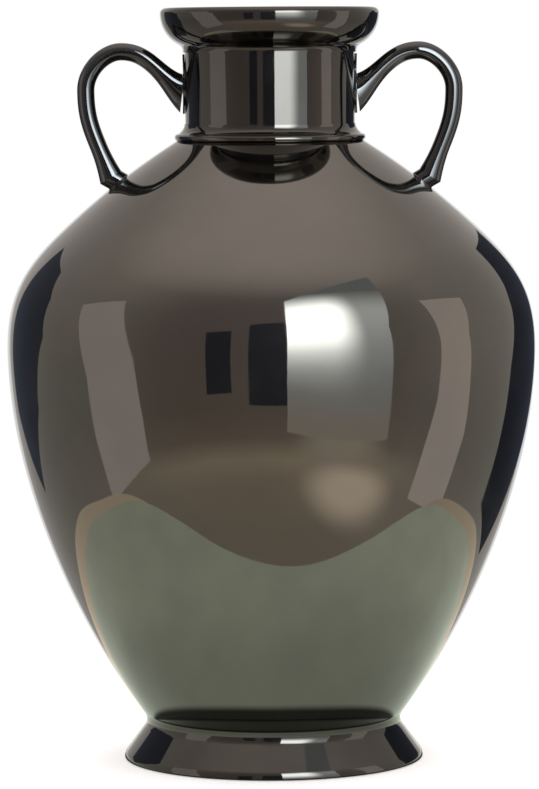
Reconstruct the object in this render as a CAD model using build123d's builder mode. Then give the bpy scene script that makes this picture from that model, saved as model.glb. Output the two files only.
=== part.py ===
"""Urn vase with two loop handles: shells spun from sheet metal, brazed together and plated.

Millimetres, +Z up. The origin is the centre of the ring that the foot stands on, and the handles
lie on the X axis. Each shell is drawn as the outline of its outer face, with the sheet inside it.
"""

import os
from math import degrees

from build123d import *

os.makedirs("parts", exist_ok=True)

# Sheet and joints
wall = 2.0  # thickness of the spun sheet
braze_gap = 0.1  # room left for braze between curved faces
belly_lap = 10.0  # how far the bowl reaches up behind the shoulder

# Foot: a flared skirt with a round lip, a cove that runs out into the bowl, and a flange under the bowl
foot_height = 28.4
foot_top_radius = 79.3
foot_flare = 12.0  # lip beyond the top of the cove
foot_lip_round = 8.5
foot_lip_turn = 46.0  # degrees of the lip above its widest line, before the skirt starts
foot_edge = 0.8  # rounding under the lip
foot_cove_height = 7.4
foot_cove_depth = 0.86  # top of the cove beyond its lower end
foot_stand_width = 7.0  # flat ring that touches the table
foot_flange_width = 19.3  # flange that carries the bowl

# Bowl: the lower half of the body
bowl_height = 226.6
belly_radius = 160.5
bowl_round = 300.0  # radius of the bowl's side below the belly
bowl_round_turn = 15.0  # degrees of that side before it straightens towards the foot
bowl_spigot_depth = 3.0  # boss of the floor that drops into the foot's flange

# Shoulder: the upper half of the body
shoulder_height = 121.5
shoulder_round = 82.0  # radius of the shoulder's side above the belly
shoulder_round_turn = 44.5  # degrees of that side before the flatter slope
shoulder_land = 5.5  # level ring round the neck that carries the collar

# Neck and collar
neck_radius = 51.5
neck_height = 53.4  # from the shoulder's land to the rim's sleeve
neck_tail = 8.0  # length of neck inside the shoulder
neck_rabbet = 1.0  # depth of the step that seats the rim's sleeve
collar_height = 10.5
collar_bead = 2.2  # radius of the collar's rounded edge
collar_bead_turn = 70.0  # degrees of that edge above its widest line
collar_overhang = 1.0  # edge beyond the shoulder's land
collar_lip = 0.3  # thickness of the collar's top edge

# Rim: a quarter-round dish with a rolled edge
rim_height = 23.5
rim_flare = 14.9  # widest line of the rim beyond the neck
rim_roll = 3.6  # radius of the rolled edge
rim_sleeve = 3.6  # sleeve that fits over the stepped top of the neck
rim_cove = 4.5  # rounding between the sleeve and the dish

# Handles: rod loops from a leaf plate on the neck to a stub on the shoulder
rod = 10.6
loop_sections = 17  # sections that a loop is drawn through
palm_depth = 23.5  # height of the loop's end at the neck
palm_width = 12.0
palm_taper = 0.22  # part of the loop's length over which the palm narrows to the rod
palm_centre = 28.7  # centre of the palm above the shoulder's land
palm_stand_off = 1.5  # centre of the palm beyond the neck's face
palm_tilt = 7.0  # degrees by which the palm's face leans away from the neck towards its tip
palm_rise = 45.0  # degrees from level at which the loop leaves the palm
crown_reach = 38.7  # top of the loop beyond the neck
crown_height = 54.2  # top of the loop above the shoulder's land
side_reach = 60.0  # widest point of the loop beyond the neck
side_height = 31.0  # widest point of the loop above the shoulder's land
leg_lean = 20.0  # degrees from upright at which the loop comes down to the heel
heel_depth = 15.0  # length of the joint between loop and stub
heel_width = 11.5
heel_taper = 0.15  # part of the loop's length over which the rod widens to the heel
heel_lean = 32.0  # degrees from upright at which the stub goes on from that joint
heel_rise = 4.9  # centre of the joint above the slope
heel_overhang = 3.4  # centre of the joint further down the slope than the stub's seat

# Stubs: short feet that turn the loops into the shoulder
stub_drop = 41.5  # distance of the stub's seat down the slope from the land
stub_lean = 60.0  # degrees from upright at which the stub runs into the slope
stub_depth = 13.0  # stub's section where it would end, across its length
stub_reach = 18.0  # distance of that section from the joint

# Leaf plates between the neck and the loops, and the loops' tenons through both
leaf_height = 36.0
leaf_width = 17.0
leaf_thickness = 1.2
leaf_centre = 34.5  # above the shoulder's land
tenon = 6.0  # diameter
tenon_grip = 5.0  # length of the tenon's root inside the palm
tenon_setback = 0.3  # tenon ends this far short of the neck's inner face

# Levels above the table
belly = foot_height + bowl_height
land = belly + shoulder_height
collar_top = land + collar_height
sleeve_bottom = land + neck_height
sleeve_top = sleeve_bottom + rim_sleeve
rim_top = sleeve_top + rim_height

# Radii that follow from the fits
foot_radius = foot_top_radius + foot_flare
flange_bore = foot_top_radius - foot_flange_width
neck_bore = neck_radius - wall
socket_radius = neck_radius + braze_gap
land_radius = neck_radius + shoulder_land
spigot_radius = neck_radius - neck_rabbet
sleeve_radius = spigot_radius + braze_gap + wall
rim_radius = neck_radius + rim_flare
leaf_face = neck_radius + braze_gap + leaf_thickness
tenon_hole = tenon / 2 + braze_gap
lap_radius = shoulder_round - wall - braze_gap
lap_turn = degrees(belly_lap / lap_radius)
from_start = (Align.CENTER, Align.CENTER, Align.MIN)

# Outline of the shoulder's outer face, from the belly to the land, as radius and height
shoulder_centre = (belly_radius - shoulder_round, belly)
with BuildLine() as shoulder_outline:
    shoulder_side = CenterArc(shoulder_centre, shoulder_round, 0, shoulder_round_turn)
    shoulder_incline = TangentArc(shoulder_side @ 1, (land_radius, land), tangent=shoulder_side % 1)

# Points and directions of a loop from the palm at the neck to the heel above the shoulder
seat_length = shoulder_incline.length - stub_drop
seat = shoulder_incline.position_at(seat_length, position_mode=PositionMode.LENGTH)
up_slope = shoulder_incline.tangent_at(seat_length, position_mode=PositionMode.LENGTH)
slope_normal = up_slope.rotate(Axis.Z, -90)
palm = Vector(neck_radius + palm_stand_off, land + palm_centre)
crown = Vector(neck_radius + crown_reach, land + crown_height)
outside = Vector(neck_radius + side_reach, land + side_height)
heel = seat + slope_normal * heel_rise - up_slope * heel_overhang
palm_way = Vector(1, 0).rotate(Axis.Z, palm_tilt)
arm_way = Vector(1, 0).rotate(Axis.Z, palm_rise)
leg_way = Vector(0, -1).rotate(Axis.Z, -leg_lean)
heel_way = Vector(0, -1).rotate(Axis.Z, -heel_lean)
stub_way = Vector(0, -1).rotate(Axis.Z, -stub_lean)
with BuildLine() as loop_line:
    Spline(palm, crown, outside, heel, tangents=(arm_way, (1, 0), (0, -1), leg_way))


def square_to(point, way):
    """A plane square to a direction in the handles' plane, with its X axis in that plane too."""
    return Plane(origin=(point.X, 0, point.Y), x_dir=(-way.Y, 0, way.X), z_dir=(way.X, 0, way.Y))


def level_bore(height):
    """A plane square to the X axis on the urn's axis, at a height."""
    return Plane(origin=(0, 0, height), x_dir=(0, 1, 0), z_dir=(1, 0, 0))


def loop_section(share):
    """Plane, width and depth of a loop's section at a share of its length."""
    palm_share = max(1 - share / palm_taper, 0) ** 3
    heel_share = max(1 - (1 - share) / heel_taper, 0) ** 2
    rod_share = 1 - palm_share - heel_share
    width = rod * rod_share + palm_width * palm_share + heel_width * heel_share
    depth = rod * rod_share + palm_depth * palm_share + heel_depth * heel_share
    way = loop_line.line % share * rod_share + palm_way * palm_share + heel_way * heel_share
    return square_to(loop_line.line @ share, way), width, depth


def oval(depth, width):
    """A circle stretched to a depth along X and a width along Y, so that all ovals loft alike."""
    Circle(1 / 2)
    scale(by=(depth, width, 1))


def export_pair(piece, name):
    """Write a right-hand piece, and the same piece turned half round for the left."""
    for side_name, turn in (("right", 0), ("left", 180)):
        with BuildPart() as turned:
            add(piece, rotation=(0, 0, turn))
        turned.part.label = f"{side_name}_{name}"
        export_step(turned.part, f"parts/{side_name}_{name}.step")


# Foot
with BuildPart() as foot:
    with BuildSketch(Plane.XZ):
        with BuildLine():
            Line((foot_radius - foot_edge - foot_stand_width, 0), (foot_radius, 0))
            lip = CenterArc((foot_radius - foot_lip_round, 0), foot_lip_round, 0, foot_lip_turn)
            skirt_top = (foot_top_radius - foot_cove_depth, foot_height - foot_cove_height)
            skirt = TangentArc(lip @ 1, skirt_top, tangent=lip % 1)
            cove = TangentArc(skirt @ 1, (foot_top_radius, foot_height), tangent=skirt % 1)
            Line(cove @ 1, (flange_bore, foot_height))
            offset(amount=wall, side=Side.LEFT)
        make_face()
    revolve(axis=Axis.Z)
    under_lip = foot.edges().group_by(Axis.Z)[0].sort_by(SortBy.LENGTH)[-1]
    fillet(under_lip, radius=foot_edge)
foot.part.label = "foot"
export_step(foot.part, "parts/foot.step")

# Bowl: a closed floor with a boss that fits the foot's flange, and a lap behind the shoulder
with BuildPart() as bowl:
    with BuildSketch(Plane.XZ):
        with BuildLine():
            boss_radius = flange_bore - braze_gap
            boss = Line((0, foot_height - bowl_spigot_depth), (boss_radius, foot_height - bowl_spigot_depth))
            boss_side = Line(boss @ 1, (boss_radius, foot_height))
            floor = Line(boss_side @ 1, (foot_top_radius, foot_height))
            side_centre = (belly_radius - bowl_round, belly)
            side = CenterArc(side_centre, bowl_round, -bowl_round_turn, bowl_round_turn)
            TangentArc(side @ 0, floor @ 1, tangent=-(side % 0))
            offset(amount=wall, side=Side.LEFT)
        make_face()
        with BuildLine():
            lap_outer = CenterArc(shoulder_centre, lap_radius, 0, lap_turn)
            lap_inner = CenterArc(shoulder_centre, lap_radius - wall, 0, lap_turn)
            Line(lap_outer @ 1, lap_inner @ 1)
            in_wall = belly_radius - wall / 2
            Polyline(lap_outer @ 0, (in_wall, belly), (in_wall, belly - belly_lap), lap_inner @ 0)
        make_face()
    revolve(axis=Axis.Z)
bowl.part.label = "bowl"
export_step(bowl.part, "parts/bowl.step")

# Shoulder: the slope and the land under the collar
with BuildPart() as shoulder:
    with BuildSketch(Plane.XZ):
        with BuildLine():
            add(shoulder_outline.edges())
            Line((land_radius, land), (socket_radius, land))
            offset(amount=wall, side=Side.LEFT)
        make_face()
    revolve(axis=Axis.Z)
shoulder.part.label = "shoulder"
export_step(shoulder.part, "parts/shoulder.step")

# Neck: a tube with a tail inside the shoulder and a stepped top for the rim
with BuildPart() as neck:
    with BuildSketch(Plane.XZ):
        with BuildLine():
            tail = Polyline((neck_bore, sleeve_top), (neck_bore, land - neck_tail), (neck_radius, land - neck_tail))
            step = Polyline(tail @ 1, (neck_radius, sleeve_bottom), (spigot_radius, sleeve_bottom))
            Polyline(step @ 1, (spigot_radius, sleeve_top), tail @ 0)
        make_face()
    revolve(axis=Axis.Z)
    with Locations(level_bore(land + leaf_centre)):
        Cylinder(tenon_hole, 2 * socket_radius, mode=Mode.SUBTRACT)
neck.part.label = "neck"
export_step(neck.part, "parts/neck.step")

# Collar: a flared ring on the shoulder's land, round the neck
with BuildPart() as collar_ring:
    with BuildSketch(Plane.XZ):
        with BuildLine():
            bead_centre = (land_radius + collar_overhang - collar_bead, land + collar_bead)
            base = Line((socket_radius, land), (bead_centre[0], land))
            bead = CenterArc(bead_centre, collar_bead, -90, 90 + collar_bead_turn)
            flare = TangentArc(bead @ 1, (socket_radius + collar_lip, collar_top), tangent=bead % 1)
            Polyline(flare @ 1, (socket_radius, collar_top), base @ 0)
        make_face()
    revolve(axis=Axis.Z)
collar_ring.part.label = "collar_ring"
export_step(collar_ring.part, "parts/collar_ring.step")

# Rim: a sleeve over the neck's stepped top, a cove, a quarter-round dish and a rolled edge
with BuildPart() as rim:
    with BuildSketch(Plane.XZ):
        with BuildLine() as rim_outline:
            roll_height = rim_top - rim_roll
            sleeve = Line((sleeve_radius, sleeve_bottom), (sleeve_radius, sleeve_top))
            TangentArc((rim_radius, roll_height), sleeve @ 1, tangent=(0, -1))
            fillet(rim_outline.vertices().sort_by_distance(sleeve @ 1)[0], radius=rim_cove)
            offset(amount=wall, side=Side.LEFT)
        make_face()
        with Locations((rim_radius - rim_roll, roll_height)):
            Circle(rim_roll)
    revolve(axis=Axis.Z)
rim.part.label = "rim"
export_step(rim.part, "parts/rim.step")

# Leaf plate: a pointed leaf curved round the neck, with a hole for the loop's tenon
with BuildPart() as neck_leaf:
    with BuildSketch(level_bore(land + leaf_centre)):
        with BuildLine():
            tip = (0, leaf_height / 2)
            root = (0, -leaf_height / 2)
            ThreePointArc(tip, (leaf_width / 2, 0), root)
            ThreePointArc(tip, (-leaf_width / 2, 0), root)
        make_face()
    extrude(amount=2 * leaf_face)
    with Locations((0, 0, land + leaf_centre)):
        Cylinder(leaf_face, leaf_height, mode=Mode.INTERSECT)
        Cylinder(socket_radius, leaf_height, mode=Mode.SUBTRACT)
    with Locations(level_bore(land + leaf_centre)):
        Cylinder(tenon_hole, 2 * leaf_face, mode=Mode.SUBTRACT)
export_pair(neck_leaf.part, "neck_leaf")

# Loop: a rod that widens to a palm against the leaf and to a heel at the stub, with a tenon
with BuildPart() as handle:
    for index in range(loop_sections):
        section_plane, width, depth = loop_section(index / (loop_sections - 1))
        with BuildSketch(section_plane):
            oval(depth, width)
    loft()
    with Locations((0, 0, land + palm_centre)):
        Cylinder(leaf_face + braze_gap, 2 * palm_depth, mode=Mode.SUBTRACT)
    with Locations(level_bore(land + leaf_centre).offset(neck_bore + tenon_setback)):
        Cylinder(tenon / 2, leaf_face + tenon_grip - neck_bore, align=from_start)
export_pair(handle.part, "handle")

# Stub: turns the heel into the shoulder, with a flat seat on the slope
with BuildPart() as handle_stub:
    with BuildSketch(square_to(heel, heel_way)):
        oval(heel_depth, heel_width)
    with BuildSketch(square_to(heel + stub_way * stub_reach, stub_way)):
        oval(stub_depth, heel_width)
    loft()
    split(bisect_by=square_to(seat + slope_normal * braze_gap, slope_normal), keep=Keep.TOP)
export_pair(handle_stub.part, "handle_stub")
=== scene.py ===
"""Urn vase with two loop handles: finishes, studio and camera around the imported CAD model."""

from math import cos, pi, radians, sin

import bmesh
import bpy
from mathutils import Matrix, Vector


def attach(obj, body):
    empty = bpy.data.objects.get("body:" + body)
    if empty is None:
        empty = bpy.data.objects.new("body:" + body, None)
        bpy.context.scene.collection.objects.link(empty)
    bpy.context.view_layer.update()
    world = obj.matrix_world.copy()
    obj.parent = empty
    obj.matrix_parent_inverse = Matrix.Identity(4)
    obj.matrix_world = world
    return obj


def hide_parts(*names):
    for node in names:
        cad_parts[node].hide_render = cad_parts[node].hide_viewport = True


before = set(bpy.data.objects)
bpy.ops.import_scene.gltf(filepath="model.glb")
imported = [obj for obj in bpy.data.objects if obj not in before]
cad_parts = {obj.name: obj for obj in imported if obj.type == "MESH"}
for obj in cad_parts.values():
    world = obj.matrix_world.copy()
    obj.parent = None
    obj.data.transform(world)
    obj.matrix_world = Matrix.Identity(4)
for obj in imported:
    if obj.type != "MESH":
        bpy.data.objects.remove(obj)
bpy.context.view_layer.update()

scene = bpy.context.scene
scene.view_settings.view_transform = "Standard"


# Nodes


class Graph:
    """A node tree that is written as calls, with sockets set or linked by name."""

    def __init__(self, tree):
        self.tree = tree
        tree.nodes.clear()

    def node(self, kind, settings=None, **inputs):
        made = self.tree.nodes.new(kind)
        for key, value in (settings or {}).items():
            setattr(made, key, value)
        for key, value in inputs.items():
            self.feed(made.inputs[key.replace("_", " ")], value)
        return made

    def feed(self, socket, value):
        if isinstance(value, bpy.types.NodeSocket):
            self.tree.links.new(value, socket)
        else:
            socket.default_value = value

    def math(self, operation, *values):
        made = self.tree.nodes.new("ShaderNodeMath")
        made.operation = operation
        for socket, value in zip(made.inputs, values):
            self.feed(socket, value)
        return made.outputs[0]

    def vector_math(self, operation, *values):
        made = self.tree.nodes.new("ShaderNodeVectorMath")
        made.operation = operation
        for socket, value in zip(made.inputs, values):
            self.feed(socket, value)
        return made.outputs["Value" if operation in ("DOT_PRODUCT", "LENGTH") else "Vector"]

    def remap(self, value, low, high, to_low, to_high, smooth=False):
        kind = "SMOOTHSTEP" if smooth else "LINEAR"
        made = self.node(
            "ShaderNodeMapRange", {"interpolation_type": kind}, Value=value,
            From_Min=low, From_Max=high, To_Min=to_low, To_Max=to_high,
        )
        return made.outputs[0]

    def mix(self, share, first, second):
        made = self.tree.nodes.new("ShaderNodeMix")
        made.data_type = "RGBA"
        for name, value in (("Factor_Float", share), ("A_Color", first), ("B_Color", second)):
            socket = next(s for s in made.inputs if s.identifier == name)
            self.feed(socket, value)
        return next(s for s in made.outputs if s.identifier == "Result_Color")

    def ramp(self, value, stops, interpolation="LINEAR"):
        made = self.node("ShaderNodeValToRGB", Fac=value)
        made.color_ramp.interpolation = interpolation
        elements = made.color_ramp.elements
        while len(elements) < len(stops):
            elements.new(0.5)
        for element, (place, colour) in zip(elements, stops):
            element.position = place
            element.color = (*colour, 1)
        return made.outputs["Color"]

    def noise(self, vector, scale, detail=2.0, roughness=0.5):
        made = self.node(
            "ShaderNodeTexNoise", Vector=vector, Scale=scale, Detail=detail, Roughness=roughness
        )
        return made.outputs["Fac"]

    def mix_shader(self, share, first, second):
        made = self.node("ShaderNodeMixShader")
        for socket, value in zip(made.inputs, (share, first, second)):
            self.feed(socket, value)
        return made.outputs[0]


def new_material(name):
    made = bpy.data.materials.new(name)
    made.use_nodes = True
    return made, Graph(made.node_tree)


# Finishes

satin_inside, satin_roughness = (0.17, 0.165, 0.155), 0.38
wave_height, polish_height, turning_height = 0.00034, 0.0000025, 0.00000025
turning_stretch = (6, 6, 1400)
film_roughness = 0.55


def plated_metal(name, thin_plate, thick_plate, spun):
    """Dark mirror plating on hand-polished metal, with clouded tone, smears and a slightly wavy surface.

    A spun piece also has faint turning lines, and a satin face towards the urn's axis.
    """
    made, graph = new_material(name)
    place = graph.node("ShaderNodeTexCoord").outputs["Object"]
    clouds = graph.noise(place, 11.0, 4.0, 0.55)
    plate = graph.remap(clouds, 0.35, 0.65, 0.0, 1.0, True)
    tone = graph.mix(plate, (*thin_plate, 1), (*thick_plate, 1))
    smears = graph.noise(place, 34.0, 5.0, 0.6)
    gloss = graph.remap(smears, 0.45, 0.75, 0.025, 0.07, True)
    waves, polish = graph.noise(place, 14.0, 1.5), graph.noise(place, 260.0, 1.0)
    reliefs = [(waves, wave_height), (polish, polish_height)]
    if spun:
        outward = graph.vector_math("NORMALIZE", graph.vector_math("MULTIPLY", place, (1, 1, 0)))
        surface = graph.node("ShaderNodeNewGeometry").outputs["Normal"]
        facing = graph.vector_math("DOT_PRODUCT", outward, surface)
        inside = graph.remap(facing, -0.3, -0.05, 1.0, 0.0, True)
        tone = graph.mix(inside, tone, (*satin_inside, 1))
        gloss = graph.math("MAXIMUM", gloss, graph.math("MULTIPLY", inside, satin_roughness))
        turning = graph.noise(graph.vector_math("MULTIPLY", place, turning_stretch), 1.0, 2.0)
        reliefs.append((turning, turning_height))
    normal = None
    for height, depth in reliefs:
        relief = graph.node("ShaderNodeBump", Height=height, Strength=1.0, Distance=depth)
        if normal is not None:
            graph.feed(relief.inputs["Normal"], normal)
        normal = relief.outputs["Normal"]
    film = graph.remap(smears, 0.35, 0.7, 0.05, 0.13, True)
    shader = graph.node(
        "ShaderNodeBsdfPrincipled", Base_Color=tone, Metallic=1.0, Roughness=gloss, Normal=normal,
        Coat_Weight=film, Coat_Roughness=film_roughness, Coat_Normal=normal,
    )
    graph.node("ShaderNodeOutputMaterial", Surface=shader.outputs["BSDF"])
    return made


body_metal = plated_metal(
    "plated_body_finish", (0.128, 0.120, 0.104), (0.116, 0.110, 0.097), spun=True
)
shell_metal = plated_metal(
    "plated_shell_finish", (0.080, 0.0755, 0.067), (0.069, 0.065, 0.058), spun=True
)
fitting_metal = plated_metal(
    "plated_fitting_finish", (0.076, 0.078, 0.078), (0.066, 0.068, 0.068), spun=False
)
for name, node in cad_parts.items():
    own = fitting_metal if "handle" in name or "leaf" in name else shell_metal
    for slot in node.material_slots:
        slot.material = own


# Body shells, turned on one outline whose bend changes without a break (all lengths in metres)

wall = 0.002
braze_gap = 0.0001
crease = radians(35)  # edges that are sharper than this stay sharp
foot_top = 0.0284
foot_top_radius = 0.0793
boss_bottom = 0.0254
boss_radius = 0.0599
floor_radius = 0.0783  # inside the bowl
belly = 0.255
belly_lap = 0.010
land = 0.3765
land_radius = 0.057
socket_radius = 0.0516

outline_slope = radians(54.09)  # from level, where the bowl leaves the foot
outline_length = 0.41084
outline_bends = (  # radius, where along the outline its easing is half done, half the easing's length
    (0.4572, None, None),
    (0.3058, 0.1645, 0.040),
    (0.0712, 0.2494, 0.028),
    (0.4507, 0.3037, 0.028),
)
outline_steps = 900
outer_stride, inner_stride = 4, 12  # steps of the outline between a shell's rings, outside and inside


def smoothstep(low, high, value):
    """A share from 0 to 1 that eases in and out between two values."""
    share = min(max((value - low) / (high - low), 0.0), 1.0)
    return share * share * (3 - 2 * share)


def body_outline():
    """Points of the outer face from the foot to the land, as (radius, height, heading)."""
    step = outline_length / outline_steps
    radius, height, heading = foot_top_radius, foot_top, outline_slope
    points = [(radius, height, heading)]
    for count in range(outline_steps):
        here = (count + 0.5) * step
        bend = last = 1 / outline_bends[0][0]
        for bend_radius, start, ease in outline_bends[1:]:
            bend += (1 / bend_radius - last) * smoothstep(start - ease, start + ease, here)
            last = 1 / bend_radius
        heading += bend * step / 2
        radius += cos(heading) * step
        height += sin(heading) * step
        heading += bend * step / 2
        points.append((radius, height, heading))
    miss_radius, miss_height = land_radius - radius, land - height
    return [
        (r + miss_radius * i / outline_steps, z + miss_height * i / outline_steps, way)
        for i, (r, z, way) in enumerate(points)
    ]


def inset(points, depth):
    """Points moved square to the outline, towards the inside."""
    return [(r - sin(way) * depth, z + cos(way) * depth) for r, z, way in points]


def turned(name, outline, material, segments=224):
    """A closed shell of revolution from an outline of (radius, height) or (radius, height, heading).

    Points with a heading are on the outer face, and their normals follow it up to its edges.
    """
    mesh = bmesh.new()
    rings = []
    for radius, height, *way in outline:
        if radius < 1e-6:
            rings.append([mesh.verts.new((0, 0, height))])
        else:
            turns = [2 * pi * k / segments for k in range(segments)]
            rings.append([mesh.verts.new((radius * cos(a), radius * sin(a), height)) for a in turns])
    steps = list(zip(range(len(rings)), range(1, len(rings))))
    if len(rings[0]) > 1:
        steps.append((len(rings) - 1, 0))
    smooth_faces = set()
    for first, second in steps:
        low, high = rings[first], rings[second]
        for k in range(segments):
            j = (k + 1) % segments
            if len(low) == 1:
                corners = [low[0], high[j], high[k]]
            elif len(high) == 1:
                corners = [low[k], low[j], high[0]]
            else:
                corners = [low[k], low[j], high[j], high[k]]
            face = mesh.faces.new(corners)
            face.smooth = True
            if len(outline[first]) == len(outline[second]) == 3:
                smooth_faces.add(face)
    mesh.verts.index_update()
    mesh.faces.index_update()
    outer = {face.index for face in smooth_faces}
    headings = {
        vert.index: point[2] for ring, point in zip(rings, outline) if len(point) == 3 for vert in ring
    }
    bmesh.ops.recalc_face_normals(mesh, faces=mesh.faces)
    data = bpy.data.meshes.new(name)
    mesh.to_mesh(data)
    mesh.free()
    data.set_sharp_from_angle(angle=crease)
    normals = [(0, 0, 0)] * len(data.loops)
    for face in data.polygons:
        if face.index in outer:
            for loop in face.loop_indices:
                vert = data.loops[loop].vertex_index
                place, way = data.vertices[vert].co, headings[vert]
                out = Vector((place.x, place.y, 0)).normalized() * sin(way)
                normals[loop] = (out.x, out.y, -cos(way))
    data.normals_split_custom_set(normals)
    data.materials.append(material)
    made = bpy.data.objects.new(name, data)
    scene.collection.objects.link(made)
    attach(made, "root")
    return made


outer_face = body_outline()
split = min(range(len(outer_face)), key=lambda i: abs(outer_face[i][1] - belly))
lower, upper = outer_face[: split + 1], outer_face[split:]
lap_end = next(i for i, point in enumerate(upper) if point[1] > belly + belly_lap)
lap_start = next(i for i, point in enumerate(lower) if point[1] > belly - belly_lap)
lap = upper[: lap_end + 1 : outer_stride]

bowl_outline = [(0, boss_bottom), (boss_radius, boss_bottom), (boss_radius, foot_top)]
bowl_outline += lower[split % outer_stride :: outer_stride]
bowl_outline += inset(lap, wall + braze_gap) + inset(lap[::-1], 2 * wall + braze_gap)
bowl_inside = inset(lower[:lap_start][::-inner_stride], wall)
bowl_outline += [(r, z) for r, z in bowl_inside if z > foot_top + wall]
bowl_outline += [(floor_radius, foot_top + wall), (boss_radius - wall, foot_top + wall)]
bowl_outline += [(boss_radius - wall, boss_bottom + wall), (0, boss_bottom + wall)]
bowl_shell = turned("bowl_shell", bowl_outline, body_metal)
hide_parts("bowl")

shoulder_outline = upper[::outer_stride]
shoulder_outline += [(socket_radius, land), (socket_radius, land - wall)]
shoulder_inside = inset(upper[:0:-inner_stride], wall)
shoulder_outline += [(r, z) for r, z in shoulder_inside if r > socket_radius and z < land - wall]
shoulder_outline += inset(upper[:1], wall)
shoulder_shell = turned("shoulder_shell", shoulder_outline, body_metal)
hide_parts("shoulder")


# Foot shell, with a straighter skirt and a tighter cove than the solid's, by less than 1 mm

foot_radius = 0.0913
foot_edge = 0.0008  # rounding under the lip
foot_edge_turn = radians(95.9)
foot_edge_inset = 0.00084
foot_stand_width = 0.007
foot_lip_round = 0.0085
foot_lip_turn = radians(30.1)
flange_bore = 0.060
edge_steps, lip_steps, skirt_steps, cove_steps = 12, 20, 16, 48


def bend_on(points, turn, length, steps):
    """Carry an outline on by an even bend, or by a straight run where the turn is 0."""
    radius, height, heading = points[-1]
    for _ in range(steps):
        heading += turn / steps / 2
        radius += cos(heading) * length / steps
        height += sin(heading) * length / steps
        heading += turn / steps / 2
        points.append((radius, height, heading))


def foot_face():
    """Points of the outer face from the stand ring to the bowl, each with its heading.

    The skirt's length and the cove's radius are those that end the face where the bowl begins.
    """
    points = [(foot_radius - foot_edge_inset, 0.0, 0.0)]
    bend_on(points, foot_edge_turn, foot_edge * foot_edge_turn, edge_steps)
    bend_on(points, foot_lip_turn, foot_lip_round * foot_lip_turn, lip_steps)
    radius, height, heading = points[-1]
    across, up = foot_top_radius - radius, foot_top - height
    run_across, run_up = cos(heading), sin(heading)
    cove_across, cove_up = sin(heading) - sin(outline_slope), cos(outline_slope) - cos(heading)
    size = run_across * cove_up - cove_across * run_up
    skirt_length = (across * cove_up - cove_across * up) / size
    cove_radius = (run_across * up - run_up * across) / size
    bend_on(points, 0.0, skirt_length, skirt_steps)
    bend_on(points, outline_slope - heading, cove_radius * (heading - outline_slope), cove_steps)
    return points


foot_outer = foot_face()
stand_inside = foot_radius - foot_edge - foot_stand_width
foot_outline = foot_outer + [(flange_bore, foot_top), (flange_bore, foot_top - wall)]
foot_inside = inset(foot_outer[: edge_steps + 1 : -2], wall)
foot_outline += [(r, z) for r, z in foot_inside if wall < z < foot_top - wall]
foot_outline += [(stand_inside, wall), (stand_inside, 0.0)]
foot_shell = turned("foot_shell", foot_outline, shell_metal)
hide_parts("foot")


# Loops, drawn by the rules of the solids but finer, so that their highlights run smoothly

leaf_face = 0.0528
rod = 0.0106
palm_depth, palm_width, palm_taper = 0.0235, 0.012, 0.22
heel_depth, heel_width, heel_taper = 0.015, 0.0115, 0.15
tenon_radius, tenon_height, tenon_ends = 0.003, 0.411, (0.0498, 0.0535)
path_steps, loop_stations, loop_sides = 200, 240, 96


def towards(angle):
    """A direction in the loops' plane, in degrees from level and outwards."""
    return Vector((cos(radians(angle)), sin(radians(angle))))


palm_way, heel_way = towards(7), towards(-122)
loop_points = [
    (Vector((0.0530, 0.4052)), towards(45)),
    (Vector((0.0902, 0.4307)), towards(0)),
    (Vector((0.1115, 0.4075)), towards(-90)),
    (Vector((0.09682, 0.35477)), towards(-110)),
]


def loop_path():
    """Points and directions along the middle of a loop, through its four fixed points."""
    spans = [0.0]
    for (start, _), (end, _) in zip(loop_points, loop_points[1:]):
        spans.append(spans[-1] + (end - start).length)
    speeds = []
    for index, (_, way) in enumerate(loop_points):
        middle = min(max(index, 1), len(loop_points) - 2)
        near = range(middle - 1, middle + 2)
        drift = Vector((0, 0))
        for k in near:
            i, j = (other for other in near if other != k)
            share = 2 * spans[index] - spans[i] - spans[j]
            share /= (spans[k] - spans[i]) * (spans[k] - spans[j])
            drift += loop_points[k][0] * share
        speeds.append(way * (abs(drift.x) + abs(drift.y)) / (abs(way.x) + abs(way.y)))
    path = []
    for k in range(len(loop_points) - 1):
        start, end = loop_points[k][0], loop_points[k + 1][0]
        span = spans[k + 1] - spans[k]
        away, home = speeds[k] * span, speeds[k + 1] * span
        for step in range(path_steps + (k == len(loop_points) - 2)):
            t = step / path_steps
            point = start + away * t + (3 * (end - start) - 2 * away - home) * t**2
            point += (2 * (start - end) + away + home) * t**3
            way = away + 2 * (3 * (end - start) - 2 * away - home) * t
            way += 3 * (2 * (start - end) + away + home) * t**2
            path.append((point, way.normalized()))
    return path


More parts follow.
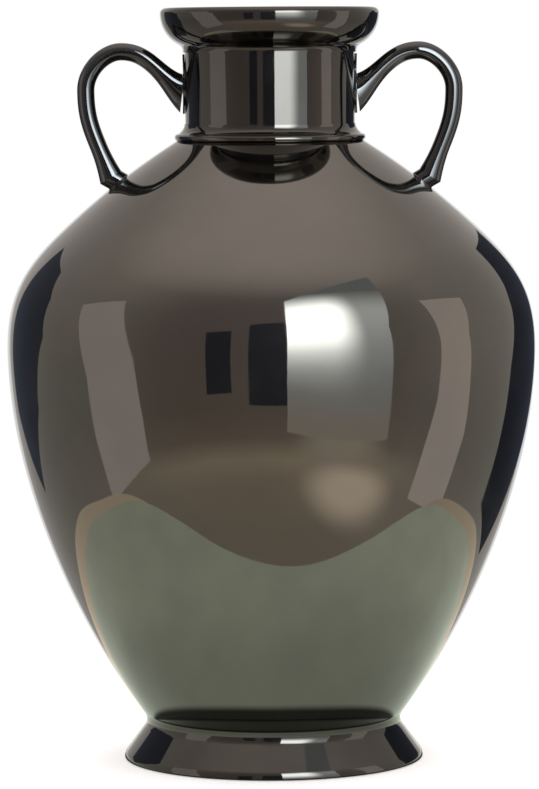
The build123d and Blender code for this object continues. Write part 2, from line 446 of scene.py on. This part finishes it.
def loop_rings():
    """Oval sections of a loop from the palm to the heel, with the palm's end pressed to its leaf."""
    path = loop_path()
    lengths = [0.0]
    for (start, _), (end, _) in zip(path, path[1:]):
        lengths.append(lengths[-1] + (end - start).length)
    rings = []
    reached = 0
    for station in range(loop_stations + 1):
        share = station / loop_stations
        while reached < len(path) - 2 and lengths[reached + 1] < share * lengths[-1]:
            reached += 1
        between = (share * lengths[-1] - lengths[reached]) / (lengths[reached + 1] - lengths[reached])
        middle = path[reached][0].lerp(path[reached + 1][0], between)
        way = path[reached][1].lerp(path[reached + 1][1], between)
        palm_share = max(1 - share / palm_taper, 0) ** 3
        heel_share = max(1 - (1 - share) / heel_taper, 0) ** 2
        rod_share = 1 - palm_share - heel_share
        width = rod * rod_share + palm_width * palm_share + heel_width * heel_share
        depth = rod * rod_share + palm_depth * palm_share + heel_depth * heel_share
        way = (way * rod_share + palm_way * palm_share + heel_way * heel_share).normalized()
        ring = []
        for side in range(loop_sides):
            angle = 2 * pi * side / loop_sides
            off = depth / 2 * cos(angle)
            place = Vector((middle.x - way.y * off, -width / 2 * sin(angle), middle.y + way.x * off))
            reach = place.xy.length
            if reach < leaf_face + braze_gap:
                place.xy *= (leaf_face + braze_gap) / reach
            ring.append(place)
        rings.append(ring)
    return rings


def tenon_rings():
    """A loop's tenon, from inside the palm to just short of the neck's inner face."""
    turns = [2 * pi * side / loop_sides for side in range(loop_sides)]
    hoop = [(tenon_radius * sin(turn), tenon_height + tenon_radius * cos(turn)) for turn in turns]
    return [[Vector((end, y, z)) for y, z in hoop] for end in tenon_ends]


# Brazing that fills the thin gap between a stub's flat seat and the round shoulder

seat_middle = Vector((0.092257, 0.352088))
seat_half_length, seat_half_width = 0.00714, 0.00575
seat_slope = 37.37  # degrees from level
up_slope, off_slope = towards(180 - seat_slope), towards(90 - seat_slope)
braze_profile = (  # height over the slope, and reach beyond the seat
    (0.0003, -0.0003),
    (0.00012, 0.00002),
    (0.0, 0.00012),
    (-0.00015, 0.0004),
    (-0.0008, 0.0005),
)


def braze_rings():
    """Rings of the brazing, from inside the stub down into the shoulder's sheet."""
    rings = []
    for height, reach in braze_profile:
        ring = []
        for side in range(loop_sides):
            angle = 2 * pi * side / loop_sides
            place = seat_middle + up_slope * ((seat_half_length + reach) * cos(angle))
            place += off_slope * height
            ring.append(Vector((place.x, (seat_half_width + reach) * sin(angle), place.y)))
        rings.append(ring)
    return rings


def skinned(name, tubes, turn):
    """Closed tubes through rings of points, turned about the urn's axis."""
    mesh = bmesh.new()
    about = Matrix.Rotation(turn, 4, "Z")
    for rings in tubes:
        hoops = [[mesh.verts.new(about @ point) for point in ring] for ring in rings]
        for low, high in zip(hoops, hoops[1:]):
            for k in range(loop_sides):
                j = (k + 1) % loop_sides
                mesh.faces.new([low[k], low[j], high[j], high[k]]).smooth = True
        mesh.faces.new(hoops[0])
        mesh.faces.new(hoops[-1])
    bmesh.ops.recalc_face_normals(mesh, faces=mesh.faces)
    data = bpy.data.meshes.new(name)
    mesh.to_mesh(data)
    mesh.free()
    data.set_sharp_from_angle(angle=crease)
    data.materials.append(fitting_metal)
    made = bpy.data.objects.new(name, data)
    scene.collection.objects.link(made)
    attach(made, "root")
    return made


for side_name, turn in (("right", 0), ("left", pi)):
    loop = skinned(f"{side_name}_loop", [loop_rings(), tenon_rings()], turn)
    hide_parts(f"{side_name}_handle")
    skinned(f"{side_name}_stub_braze", [braze_rings()], turn)


# Studio

floor_lift = 0.45  # what the camera sees added to the floor near the foot


def only_in_metal(thing):
    """Keep a stage object out of everything but the metal's reflections."""
    thing.visible_camera = False
    thing.visible_diffuse = False
    thing.visible_shadow = False


def upright(name, azimuth, distance, corners, material):
    """A panel seen only in the metal, with corners as (along, height) on a plane that faces the urn.

    Azimuth 0 is towards the camera and positive to its right, and so is the way along the panel.
    """
    turn = radians(azimuth)
    middle = Vector((sin(turn), -cos(turn), 0)) * distance
    along = Vector((cos(turn), sin(turn), 0))
    places = [middle + along * a + Vector((0, 0, h)) for a, h in corners]
    mesh = bpy.data.meshes.new(name)
    mesh.from_pydata(places, [], [range(len(places))])
    mesh.uv_layers.new(name="metres")
    for loop, corner in zip(mesh.uv_layers["metres"].data, corners):
        loop.uv = corner
    mesh.materials.append(material)
    made = bpy.data.objects.new(name, mesh)
    scene.collection.objects.link(made)
    only_in_metal(made)
    return made


def glow(name, colour):
    """An even brightness in the metal."""
    made, graph = new_material(name)
    shine = graph.node("ShaderNodeEmission", Color=(*colour, 1), Strength=1.0)
    graph.node("ShaderNodeOutputMaterial", Surface=shine.outputs["Emission"])
    return made


def softbox_glow():
    """A softbox with an even dim front and a hot part high on its left, both fading with height."""
    made, graph = new_material("softbox_glow")
    place = graph.node("ShaderNodeSeparateXYZ", Vector=graph.node("ShaderNodeTexCoord").outputs["UV"])
    low, high = -0.25, 1.55

    def by_height(stops):
        top = max(level for _, level in stops)
        shares = [((height - low) / (high - low), (level / top,) * 3) for height, level in stops]
        rise = graph.remap(place.outputs["Y"], low, high, 0.0, 1.0)
        return graph.math("MULTIPLY", graph.ramp(rise, shares, "B_SPLINE"), top)

    even = by_height(
        [(-0.25, 0.95), (0.0, 0.85), (0.2, 1.3), (0.5, 1.75), (0.9, 2.4), (1.2, 1.5), (1.5, 0.6)]
    )
    hot = by_height([
        (0.0, 0.0), (0.06, 0.25), (0.15, 0.9), (0.24, 2.2), (0.36, 4.8),
        (0.55, 11.0), (0.95, 11.0), (1.15, 6.0), (1.35, 1.5), (1.5, 0.0),
    ])
    fade = graph.remap(place.outputs["X"], -0.12, 0.21, 1.0, 0.0, True)
    strength = graph.math("ADD", even, graph.math("MULTIPLY", hot, fade))
    warmth = graph.remap(place.outputs["Y"], -0.22, 0.12, 0.0, 1.0, True)
    colour = graph.mix(warmth, (1.0, 0.90, 0.81, 1), (0.93, 1.0, 1.06, 1))
    shine = graph.node("ShaderNodeEmission", Color=colour, Strength=strength)
    graph.node("ShaderNodeOutputMaterial", Surface=shine.outputs["Emission"])
    return made


upright(
    "softbox", 30, 1.15,
    [(-0.505, -0.22), (0.42, -0.22), (0.42, 0.6), (0.80, 2.3), (-0.505, 1.36)],
    softbox_glow(),
)
upright(
    "left_board", -78, 1.1,
    [
        (-0.05, -0.39), (0.47, -0.31), (0.47, -0.1), (0.42, 0.22),
        (0.13, 0.96), (-0.27, 0.74), (-0.06, 0.1),
    ],
    glow("left_board", (1.16, 1.07, 1.07)),
)
upright(
    "right_board", 88, 1.1,
    [
        (-0.42, -0.48), (-0.01, -0.41), (0.05, -0.10), (0.03, 0.10), (0.02, 0.37),
        (0.13, 0.78), (-0.32, 0.94), (-0.30, 0.33), (-0.31, 0.01), (-0.37, -0.20),
    ],
    glow("right_board", (1.45, 1.32, 1.27)),
)
upright(
    "left_flag", -126, 0.63,
    [
        (-0.14, 0.13), (-0.02, 0.0), (0.15, 0.11), (0.235, 0.28),
        (0.18, 0.47), (0.05, 0.59), (-0.16, 0.56),
    ],
    glow("left_flag", (0.084, 0.098, 0.132)),
)
upright(
    "right_flag", 126, 0.63,
    [
        (-0.14, -0.06), (0.08, -0.08), (0.33, 0.17), (0.35, 0.45),
        (0.11, 0.585), (-0.04, 0.40), (-0.13, 0.18),
    ],
    glow("right_flag", (0.043, 0.050, 0.072)),
)
front_flag = glow("front_flag", (0.070, 0.070, 0.095))
upright(
    "narrow_front_flag", -20, 1.6,
    [(-0.19, -0.09), (0.10, -0.08), (0.10, 0.73), (-0.195, 0.69)],
    front_flag,
)
upright(
    "wide_front_flag", 0, 1.6,
    [(-0.26, -0.17), (0.176, -0.17), (0.178, 0.95), (-0.25, 0.885)],
    front_flag,
)


def flat(name, outline, level):
    """A level sheet."""
    mesh = bpy.data.meshes.new(name)
    mesh.from_pydata([(x, y, level) for x, y in outline], [], [range(len(outline))])
    made = bpy.data.objects.new(name, mesh)
    scene.collection.objects.link(made)
    return made


def oval(centre, half_width, half_depth, power, count=96):
    """Corners of a rounded sheet: a power of 2 is an ellipse, and a higher one squarer."""
    corners = []
    for k in range(count):
        c, s = cos(2 * pi * k / count), sin(2 * pi * k / count)
        x = half_width * abs(c) ** (2 / power) * (1 if c > 0 else -1)
        y = half_depth * abs(s) ** (2 / power) * (1 if s > 0 else -1)
        corners.append((centre[0] + x, centre[1] + y))
    return corners


def table_glow():
    """Glowing pale green-grey table top, uneven, with painted shade towards the foot and a painted
    shadow under its lip.
    """
    made, graph = new_material("table_glow")
    place = graph.node("ShaderNodeTexCoord").outputs["Object"]
    grain = graph.noise(place, 14.0, 3.0)
    uneven = graph.remap(grain, 0.35, 0.65, 0.0, 1.0)
    tone = graph.mix(uneven, (1.16, 1.28, 1.08, 1), (1.06, 1.18, 1.00, 1))
    reach = graph.vector_math("LENGTH", place)
    # painted shadow: the glowing table goes dark under the foot's lip, as if the urn shaded it
    shade = graph.remap(reach, 0.097, 0.104, 0.08, 1.0, True)
    # painted shade: the table's glow dims towards the foot, as in the urn's shadow
    painted_shade_near_foot = graph.remap(reach, 0.10, 0.26, 0.74, 1.0, True)
    parts = graph.node("ShaderNodeSeparateXYZ", Vector=place)
    # painted light: the table's glow is brighter to the right than to the left
    across = graph.remap(parts.outputs["X"], -0.4, 0.4, 0.9, 1.08)
    level = graph.math("MULTIPLY", graph.math("MULTIPLY", shade, painted_shade_near_foot), across)
    shine = graph.node("ShaderNodeEmission", Color=tone, Strength=level)
    graph.node("ShaderNodeOutputMaterial", Surface=shine.outputs["Emission"])
    return made


def pool_of_light(name, colour):
    """A pool of light on a unit disc, soft at its edge and clear outside it."""
    made, graph = new_material(name)
    reach = graph.vector_math("LENGTH", graph.node("ShaderNodeTexCoord").outputs["Object"])
    shine = graph.node("ShaderNodeEmission", Color=(*colour, 1), Strength=1.0)
    clear = graph.node("ShaderNodeBsdfTransparent")
    outside = graph.remap(reach, 0.25, 1.0, 0.0, 1.0, True)
    both = graph.mix_shader(outside, shine.outputs[0], clear.outputs[0])
    graph.node("ShaderNodeOutputMaterial", Surface=both)
    return made


def floor_paint():
    """White floor that keeps a soft shadow near the foot and runs into the backdrop further out."""
    made, graph = new_material("floor_paint")
    place = graph.node("ShaderNodeTexCoord").outputs["Object"]
    reach = graph.remap(graph.vector_math("LENGTH", place), 0.10, 0.34, 0.0, 1.0, True)
    grain = graph.remap(graph.noise(place, 14.0, 3.0), 0.35, 0.65, 0.88, 0.92)
    white_paint = graph.node("ShaderNodeCombineColor", Red=grain, Green=grain, Blue=grain).outputs[0]
    paint = graph.node("ShaderNodeBsdfDiffuse", Color=white_paint)
    camera_only = graph.node("ShaderNodeLightPath").outputs["Is Camera Ray"]
    lift = graph.node("ShaderNodeEmission", Strength=graph.math("MULTIPLY", camera_only, floor_lift))
    near = graph.node("ShaderNodeAddShader")
    graph.feed(near.inputs[0], paint.outputs[0])
    graph.feed(near.inputs[1], lift.outputs[0])
    white = graph.node("ShaderNodeEmission", Strength=1.0)
    far = graph.math("MULTIPLY", reach, camera_only)
    both = graph.mix_shader(far, near.outputs[0], white.outputs[0])
    graph.node("ShaderNodeOutputMaterial", Surface=both)
    return made


floor_level, border_level, table_level = -0.0004, -0.0003, -0.0002
table_power = 3.0
table_turn = radians(7)
floor = flat("floor", [(-5, -5), (5, -5), (5, 5), (-5, 5)], floor_level)
floor.data.materials.append(floor_paint())
floor.visible_glossy = False
table = flat("table", oval((0, -0.05), 0.395, 0.205, table_power), table_level)
table.data.materials.append(table_glow())
only_in_metal(table)
border = oval((0, -0.015), 0.435, 0.225, table_power)
table_border = flat("table_border", border, border_level)
table_border.data.materials.append(glow("table_border", (1.32, 1.13, 0.88)))
only_in_metal(table_border)
table.rotation_euler.z = table_border.rotation_euler.z = table_turn

studio_floor = -0.75
for name, azimuth, distance, drop, size, colour in (
    ("near_pool", radians(36), 1.55, 0.0, (0.75, 0.45), (2.0, 1.72, 1.46)),
    ("far_pool", radians(31), 2.35, 0.01, (1.05, 0.95), (1.05, 0.92, 0.80)),
):
    pool = flat(name, oval((0, 0), 1.0, 1.0, 2.0), 0)
    pool.location = (sin(azimuth) * distance, -cos(azimuth) * distance, studio_floor - drop)
    pool.rotation_euler.z = azimuth
    pool.scale = (*size, 1)
    pool.data.materials.append(pool_of_light(name, colour))
    only_in_metal(pool)

overhead = bpy.data.lights.new("overhead", "AREA")
overhead.shape = "DISK"
overhead.size = 3.0
overhead.energy = 62.0
overhead_lamp = bpy.data.objects.new("overhead", overhead)
overhead_lamp.location = (0, 0, 2.4)
overhead_lamp.visible_glossy = False
overhead_lamp.visible_camera = False
scene.collection.objects.link(overhead_lamp)


def room():
    """Warm dim walls round the table, a paler ceiling, and a white backdrop behind the urn.

    The backdrop's half angle, as the metal sees it, is smaller above the level of the horizon.
    """
    world = bpy.data.worlds.new("studio")
    world.use_nodes = True
    scene.world = world
    graph = Graph(world.node_tree)
    way = graph.node("ShaderNodeTexCoord").outputs["Generated"]
    parts = graph.node("ShaderNodeSeparateXYZ", Vector=way)
    rise = graph.remap(parts.outputs["Z"], -1.0, 1.0, 0.0, 1.0)
    front = graph.ramp(
        rise,
        [
            (0.16, (0.50, 0.43, 0.355)),
            (0.23, (0.565, 0.48, 0.39)),
            (0.265, (0.68, 0.59, 0.46)),
            (0.305, (0.37, 0.30, 0.255)),
            (0.36, (0.30, 0.25, 0.22)),
            (0.60, (0.29, 0.24, 0.235)),
            (0.80, (0.30, 0.25, 0.24)),
            (0.87, (0.345, 0.30, 0.285)),
            (0.927, (0.59, 0.53, 0.51)),
            (0.985, (0.85, 0.77, 0.735)),
            (1.0, (0.95, 0.86, 0.83)),
        ],
    )
    sides = graph.ramp(
        rise,
        [
            (0.24, (0.46, 0.43, 0.40)),
            (0.36, (0.40, 0.38, 0.36)),
            (0.50, (0.48, 0.45, 0.42)),
            (0.75, (0.52, 0.48, 0.46)),
            (0.86, (0.60, 0.55, 0.52)),
            (0.95, (0.90, 0.81, 0.78)),
            (0.99, (1.02, 0.92, 0.89)),
        ],
    )
    walls = graph.mix(graph.remap(parts.outputs["Y"], -0.85, 0.1, 0.0, 1.0, True), front, sides)
    path = graph.node("ShaderNodeLightPath")
    wide, narrow = cos(radians(22)), cos(radians(13))
    backdrop_edge = graph.remap(parts.outputs["Z"], -0.1, 0.15, wide, narrow)
    behind = graph.math("GREATER_THAN", parts.outputs["Y"], backdrop_edge)
    seen = graph.math("MAXIMUM", path.outputs["Is Glossy Ray"], path.outputs["Is Transmission Ray"])
    mirrored = graph.math("MULTIPLY", behind, seen)
    backdrop = graph.math("MAXIMUM", path.outputs["Is Camera Ray"], mirrored)
    level = graph.remap(parts.outputs["X"], -1.0, 1.0, 1.26, 1.46)
    dim = graph.node("ShaderNodeBackground", Color=walls, Strength=level)
    white = graph.node("ShaderNodeBackground", Color=(1, 1, 1, 1), Strength=1.0)
    both = graph.mix_shader(backdrop, dim.outputs[0], white.outputs[0])
    graph.node("ShaderNodeOutputWorld", Surface=both)


room()


# Camera


camera = bpy.data.cameras.new("camera")
camera.sensor_width = 36.0
camera.lens = 191.6
camera.clip_start = 0.05
camera.clip_end = 50.0
eye = bpy.data.objects.new("camera", camera)
eye_distance, eye_height = 2.55, 0.4364
pitch, yaw, roll = radians(4.806), radians(0.03), radians(-0.35)
eye.matrix_world = (
    Matrix.Translation((0, -eye_distance, eye_height))
    @ Matrix.Rotation(yaw, 4, "Z")
    @ Matrix.Rotation(pi / 2 - pitch, 4, "X")
    @ Matrix.Rotation(roll, 4, "Z")
)
scene.collection.objects.link(eye)
scene.camera = eye
